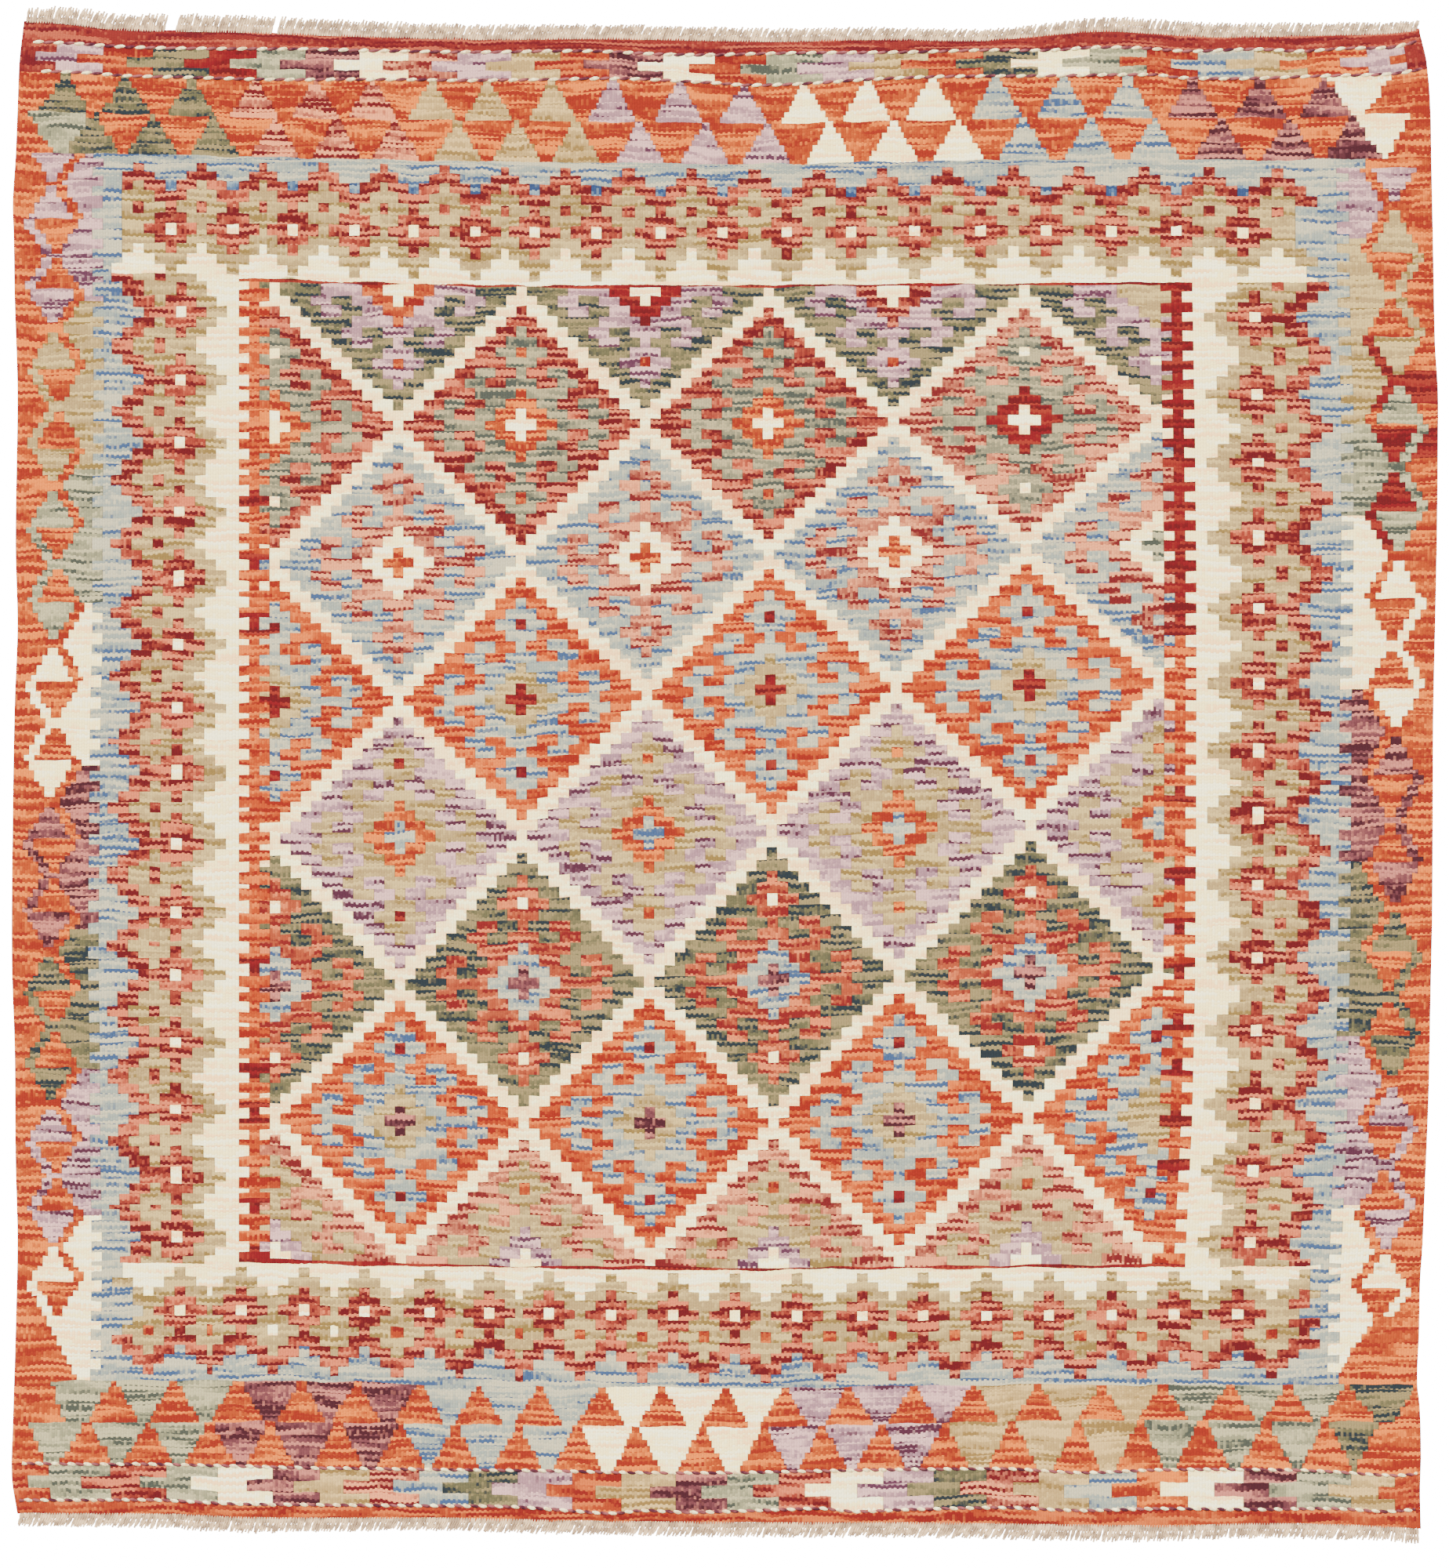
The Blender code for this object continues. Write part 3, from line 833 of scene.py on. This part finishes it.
# How far a pass strays from its level, in passes, and how often in a metre.
WANDER, WANDERS_A_METRE = 8.0, 16.0
# How much each pair of passes and each bead differs from its patch in shade, and how pale the odd bead is,
# partly from the yarn's pale fibres and partly as a painted highlight.
PAIR_SHARE, BEAD_SHARE, HEATHER_AND_HIGHLIGHT = 0.45, 0.08, 0.5
# Painted shade in the valleys between threads and in the slits between wools, the darker colour of the
# fuzz, and how much of each.
VALLEY_SHADE_COLOUR, VALLEY_SHADE_SHARE = (0.16, 0.12, 0.10, 1), 0.30
SLIT_SHADE_COLOUR, SLIT_SHADE_SHARE = (0.20, 0.12, 0.09, 1), 0.35
FUZZ_COLOUR, FUZZ_SHARE = (0.55, 0.50, 0.48, 1), 0.5

wool = Nodes("wool_weft")
crossing = wool.add("UVMap", {"uv_map": "threads"}, {})["UV"]
crossing = wool.add("SeparateXYZ", {}, {"Vector": crossing})
warp, weft = crossing["X"], crossing["Y"]
spot = wool.add("TexCoord", {}, {})["Object"]
# Each pass wavers a little from its own level, and shows on every second warp.
passes = weft + (wool.noise(spot, WANDERS_A_METRE, 2.0) - 0.5) * WANDER
odd = (warp.math("FLOOR") / 2).math("FRACT") * 2
bead = passes / 2 + odd * 0.3
pair = bead.math("FLOOR")


def face_value(name, output):
    return wool.add("Attribute", {"attribute_name": name}, {})[output]


def chance_of(value):
    return wool.add("TexWhiteNoise", {"noise_dimensions": "1D"}, {"W": value})["Value"]


yarn = wool.add("SeparateXYZ", {}, {"Vector": face_value("wool_run", "Vector")})
share = wool.add("SeparateXYZ", {}, {"Vector": face_value("wool_shares", "Vector")})
# The yarn runs to and fro across its patch, so each pair of passes takes up the skein further along.
travelled = warp / share["Z"] + pair * 0.6 + yarn["X"] * 0.37 + yarn["Z"]
streak = wool.noise(travelled, 1.0, 1.0, "1D")
own = wool.noise(pair * 7.3 + warp / 40, 1.0, 1.0, "1D")
speck = chance_of(pair * 37.1 + warp.math("FLOOR"))
shade = streak + (own - 0.5) * PAIR_SHARE + (speck - 0.5) * BEAD_SHARE
# A noise of this kind keeps within about 0.3 and 0.7, so shares are cut there.
lighter = step(shade, 0.62 - share["X"] * 0.40, 0.72 - share["X"] * 0.40)
darker = 1 - step(shade, 0.30 + share["Y"] * 0.36, 0.37 + share["Y"] * 0.36)
colour = wool.mix(lighter, face_value("wool_middle", "Color"), face_value("wool_light", "Color"))
colour = wool.mix(darker, colour, face_value("wool_dark", "Color"))
# Odd beads are painted in the wool's light shade: partly the pale fibres of a heathered yarn, partly
# painted highlights.
heather_and_highlight = step(chance_of(pair * 53.9 + warp.math("FLOOR") + 0.5), 0.85, 1.0)
colour = wool.mix(heather_and_highlight * HEATHER_AND_HIGHLIGHT, colour, face_value("wool_light", "Color"))

rib = 1 - ((warp.math("FRACT") - 0.5) * 2).math("POWER", 2)
bead_round = 1 - ((bead.math("FRACT") - 0.5) * 2).math("POWER", 2)
relief = rib * 0.6 + bead_round * 0.4
# Painted shade: where the relief is low, between threads and between beads, a dark colour is multiplied in.
valley_shade = 1 - step(relief, 0.05, 0.6)
colour = wool.mix(valley_shade * VALLEY_SHADE_SHARE, colour, VALLEY_SHADE_COLOUR, "MULTIPLY")
# Where two wools turn back on neighbouring warps they leave a slit between them, and the shade in it is
# painted as a dark line along the ends of each run.
inside = warp - yarn["X"]
slit_shade = 1 - step(inside.math("MINIMUM", yarn["Y"] - inside), 0.0, 0.45)
colour = wool.mix(slit_shade * SLIT_SHADE_SHARE, colour, SLIT_SHADE_COLOUR, "MULTIPLY")
fuzz = wool.noise(spot, 900.0, 2.0)
colour = wool.mix((fuzz - 0.5) * FUZZ_SHARE + 0.1, colour, FUZZ_COLOUR, "MULTIPLY")
bump = wool.add("Bump", {}, {"Strength": 0.5, "Distance": 0.0008, "Height": relief + fuzz * 0.15})
wool.set(
    wool.shader,
    {
        "Base Color": colour,
        "Roughness": 0.92,
        "Specular IOR Level": 0.15,
        "Normal": bump["Normal"],
        "Sheen Weight": 0.12,
        "Sheen Roughness": 0.5,
    },
)
mesh.materials.append(wool.material)
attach(cloth, "root")
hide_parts("kilim_cloth")

# ----------------------------------------------------------------------------------------------------
# The twined rows. At each end two pairs of yarn, a thick ivory one and a thin plum one, are twisted round
# each other across the whole cloth, and hold the last wefts in.

# Each row's course, the end that it is at, its stitches and where in a stitch it starts.
TWINES = {
    "twine_top_outer": (TOP_OUTER_TWINE, 1, 68, 0.0),
    "twine_top_inner": (TOP_INNER_TWINE, 1, 68, 0.0),
    "twine_bottom_inner": (BOTTOM_INNER_TWINE, -1, 86, 0.2),
    "twine_bottom_outer": (BOTTOM_OUTER_TWINE, -1, 86, 0.7),
}
STATIONS_A_STITCH = 8
# Each yarn's thickness and height under the warps, the same over them, and how far on in its turn it is.
TWINED_YARNS = {
    "ivory": ((0.0006, 0.0007), (0.0022, 0.0027), 0.0),
    "plum": ((0.0008, 0.0012), (0.0018, 0.0030), math.pi),
}
TWIST_ACROSS = 0.0006


def spun(name, dark, pale, patches, fibres, roughness=0.9, depth=0.0006, fibre_shade=None):
    """The material of a spun yarn, dark and pale in patches, with fine fibres that stand off it.

    patches is the scale and the detail of the patches' noise, fibres the scale of the fibres' one, and the
    last argument is a painted shade among the fibres: a darker colour, and its share.
    """
    yarn = Nodes(name)
    spot = yarn.add("TexCoord", {}, {})["Object"]
    tone = yarn.noise(spot, *patches)
    hair = yarn.noise(spot, fibres, 2.0)
    colour = yarn.mix(step(tone, 0.35, 0.65), dye(dark), dye(pale))
    # Painted shade among the fibres: the darker colour is multiplied in by the fibres' noise.
    if fibre_shade:
        colour = yarn.mix(hair * fibre_shade[1], colour, dye(fibre_shade[0]), "MULTIPLY")
    bump = yarn.add("Bump", {}, {"Strength": 0.4, "Distance": depth, "Height": hair})
    finish = {"Roughness": roughness, "Specular IOR Level": 0.15, "Normal": bump["Normal"]}
    yarn.set(yarn.shader, {"Base Color": colour, **finish})
    return yarn.material


twined = {
    "ivory": spun(
        "twined_ivory", (226, 212, 188), (242, 234, 214), (260.0, 3.0), 1500.0,
        # The darker colour among the fibres is painted shade.
        fibre_shade=((190, 172, 150), 0.25),
    ),
    "plum": spun("twined_plum", (110, 50, 70), (200, 130, 130), (90.0, 2.0), 1500.0, roughness=0.92),
}


def yarns(name, strands, material, sides_detail=1):
    """Round yarns along lists of (x, y, z, thickness), as one mesh object."""
    curve = bpy.data.curves.new(name, "CURVE")
    curve.dimensions = "3D"
    curve.bevel_depth = 1.0
    curve.bevel_resolution = sides_detail
    curve.use_fill_caps = True
    for strand in strands:
        spline = curve.splines.new("POLY")
        spline.points.add(len(strand) - 1)
        for point, (x, y, z, thickness) in zip(spline.points, strand):
            point.co = (x, y, z, 1)
            point.radius = thickness
    guide = bpy.data.objects.new(name + "_guide", curve)
    bpy.context.collection.objects.link(guide)
    shape = bpy.data.meshes.new_from_object(
        guide.evaluated_get(bpy.context.evaluated_depsgraph_get())
    )
    bpy.data.objects.remove(guide)
    shape.materials.clear()
    shape.materials.append(material)
    for face in shape.polygons:
        face.use_smooth = True
    piece = bpy.data.objects.new(name, shape)
    bpy.context.collection.objects.link(piece)
    return piece


for name, (table, side, stitches, phase) in TWINES.items():
    start, end = table[0][0] * MM, table[-1][0] * MM
    count = stitches * STATIONS_A_STITCH
    for strand, (under, over, offset) in TWINED_YARNS.items():
        points = []
        for i in range(count + 1):
            x = start + (end - start) * i / count
            y = side * (HALF_LENGTH - between(table, x / MM)) * MM
            turn = 2 * math.pi * (i / STATIONS_A_STITCH + phase) + offset
            up = 0.5 + 0.5 * math.sin(turn)
            thickness, height = (a + (b - a) * up for a, b in zip(under, over))
            swing = math.cos(turn) * TWIST_ACROSS * -side
            points.append((x, y + swing, height, thickness))
        piece = yarns(f"{name}_{strand}", [points], twined[strand])
        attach(piece, "root")
        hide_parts("kilim_cloth")

# ----------------------------------------------------------------------------------------------------
# The fringes. The ends of the cotton warps, cut about 15 mm past the cloth. Each is two plies twisted
# together, and all of them lean the same way from lying on the floor.

# The fringe's reach past the cloth and its lean to the right. Columns: along, reach, lean.
TOP_FRINGE = [
    (-742, 15, 2), (-700, 19, 5), (-650, 17, 7), (-600, 19, 5), (-450, 18, 6), (-300, 17, 6),
    (-150, 16, 7), (0, 15, 6), (150, 14, 7), (300, 13, 6), (380, 15, 4), (500, 16, 6),
    (650, 14, 5), (735, 12, 4),
]
BOTTOM_FRINGE = [
    (-749, 14, -5), (-650, 15, -6), (-500, 17, -4), (-350, 14, -5), (-150, 15, -6), (50, 16, -5),
    (250, 16, -7), (400, 18, -4), (550, 16, -3), (650, 16, -6), (700, 15, -4), (737, 18, 1),
]
# Where warp ends are worn away. Columns: from, to.
BARE = {1: [(-593, -582), (-480, -475)], -1: []}
WARP_ENDS = 533
WARP_STATIONS = 6
# A ply's radius, how much of it is lost towards its cut end, and how far it is from the other one's middle,
# aside and upwards.
PLY_RADIUS, PLY_TAPER, PLY_ASIDE, PLY_UP = 1.25, 0.3, 0.6, 0.32
PLY_HALF_TURNS = 2.2
# How far the first and last warp are from the selvedges, and how far all reach in under the cloth.
SELVEDGE_INSET, ROOT_INSIDE = 2.5, 1.5
# How much warps differ: their place, the share of the reach, the lean and the height.
ASTRAY, REACH_SHARES, LEAN_SPREAD, HEIGHTS = 0.3, (0.86, 1.06), 0.5, (0.7, 1.5)
# How much higher a warp is where it leaves the cloth, and the power by which it leans more further out.
ROOT_RISE, LEAN_CURVE = 0.5, 1.3

cotton = spun(
    "cotton_warp", (210, 194, 174), (230, 218, 200), (120.0, 2.0), 1800.0,
    # The darker colour among the fibres is painted shade.
    depth=0.0005, fibre_shade=((190, 165, 140), 0.3),
)

for name, edge, profile, side, seed in (
    ("fringe_top", TOP_EDGE, TOP_FRINGE, 1, 21),
    ("fringe_bottom", BOTTOM_EDGE, BOTTOM_FRINGE, -1, 22),
):
    chance = random.Random(seed)
    left, right = edge[0][0] + SELVEDGE_INSET, edge[-1][0] - SELVEDGE_INSET
    plies = []
    for i in range(WARP_ENDS):
        at = left + (right - left) * (i + 0.5) / WARP_ENDS + chance.uniform(-ASTRAY, ASTRAY)
        if any(low < at < high for low, high in BARE[side]):
            continue
        reach = between(profile, at, 1) * chance.uniform(*REACH_SHARES)
        lean = between(profile, at, 2) + chance.gauss(0, LEAN_SPREAD)
        root = side * (HALF_LENGTH + between(edge, at) - ROOT_INSIDE)
        low = chance.uniform(*HEIGHTS)
        for ply_side in (-1, 1):
            points = []
            for k in range(WARP_STATIONS + 1):
                t = k / WARP_STATIONS
                turn = math.pi * (PLY_HALF_TURNS * t + 0.5 * ply_side)
                x = at + lean * t ** LEAN_CURVE + math.cos(turn) * PLY_ASIDE
                y = root + side * reach * t
                z = low + (1 - t) ** 2 * ROOT_RISE + math.sin(turn) * PLY_UP
                place = (x, y, max(z, PLY_RADIUS), PLY_RADIUS * (1 - PLY_TAPER * t ** 3))
                points.append([value * MM for value in place])
            plies.append(points)
    piece = yarns(name + "_warps", plies, cotton, 0)
    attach(piece, "root")
    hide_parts(name)

# ----------------------------------------------------------------------------------------------------
# The floor, the light and the camera. A plain pale studio floor, even light from a high soft source at
# the upper left, and a long lens straight above that takes in the whole rug.

FLOOR_SIZE = 8.0
# The floor glows, so that it comes out as white as the photograph's ground.
FLOOR_GLOW = 14.0
floor_shape = bmesh.new()
bmesh.ops.create_grid(floor_shape, x_segments=1, y_segments=1, size=FLOOR_SIZE / 2)
floor_mesh = bpy.data.meshes.new("floor")
floor_shape.to_mesh(floor_mesh)
floor_shape.free()
floor = bpy.data.objects.new("floor", floor_mesh)
bpy.context.collection.objects.link(floor)
paint = Nodes("floor_paint")
grain = paint.noise(paint.add("TexCoord", {}, {})["Object"], 3.0, 4.0)
paint.set(
    paint.shader,
    {
        "Base Color": paint.mix(grain, (0.83, 0.90, 1.0, 1), (0.85, 0.92, 1.0, 1)),
        "Roughness": 0.95,
        "Emission Color": (1.0, 1.0, 1.0, 1),
        "Emission Strength": FLOOR_GLOW,
    },
)
floor_mesh.materials.append(paint.material)

# The share of the light that comes from all round, and the other light's tilt and softness.
SKY_SHARE = 0.4
SUN_TILT = (math.radians(-38), math.radians(-22))
SUN_ANGLE = math.radians(25)
sun = bpy.data.lights.new("window", "SUN")
sun.color = LIGHT
down_share = math.cos(SUN_TILT[0]) * math.cos(SUN_TILT[1])
sun.energy = LIGHT_LEVEL * (1 - SKY_SHARE) * math.pi / down_share
sun.angle = SUN_ANGLE
window = bpy.data.objects.new("window", sun)
window.rotation_euler = (*SUN_TILT, 0)
bpy.context.collection.objects.link(window)
world = bpy.data.worlds.new("studio")
world.use_nodes = True
world.node_tree.nodes["Background"].inputs["Color"].default_value = (*LIGHT, 1)
world.node_tree.nodes["Background"].inputs["Strength"].default_value = LIGHT_LEVEL * SKY_SHARE
bpy.context.scene.world = world

# The photograph's size, a pixel's size on the rug, and the pixel where the rug's middle is.
FRAME_SIZE = (1848, 2000)
PIXEL = 0.83 * MM
RUG_MIDDLE = (924.5, 990.5)
CAMERA_HEIGHT = 12.0
SENSOR = 36.0
lens = bpy.data.cameras.new("camera")
lens.sensor_width = SENSOR
lens.lens = SENSOR * (CAMERA_HEIGHT - CLOTH_THICKNESS) / (FRAME_SIZE[1] * PIXEL)
lens.clip_end = 100
camera = bpy.data.objects.new("camera", lens)
camera.location = (
    (FRAME_SIZE[0] / 2 - RUG_MIDDLE[0]) * PIXEL,
    (RUG_MIDDLE[1] - FRAME_SIZE[1] / 2) * PIXEL,
    CAMERA_HEIGHT,
)
bpy.context.collection.objects.link(camera)
bpy.context.scene.camera = camera
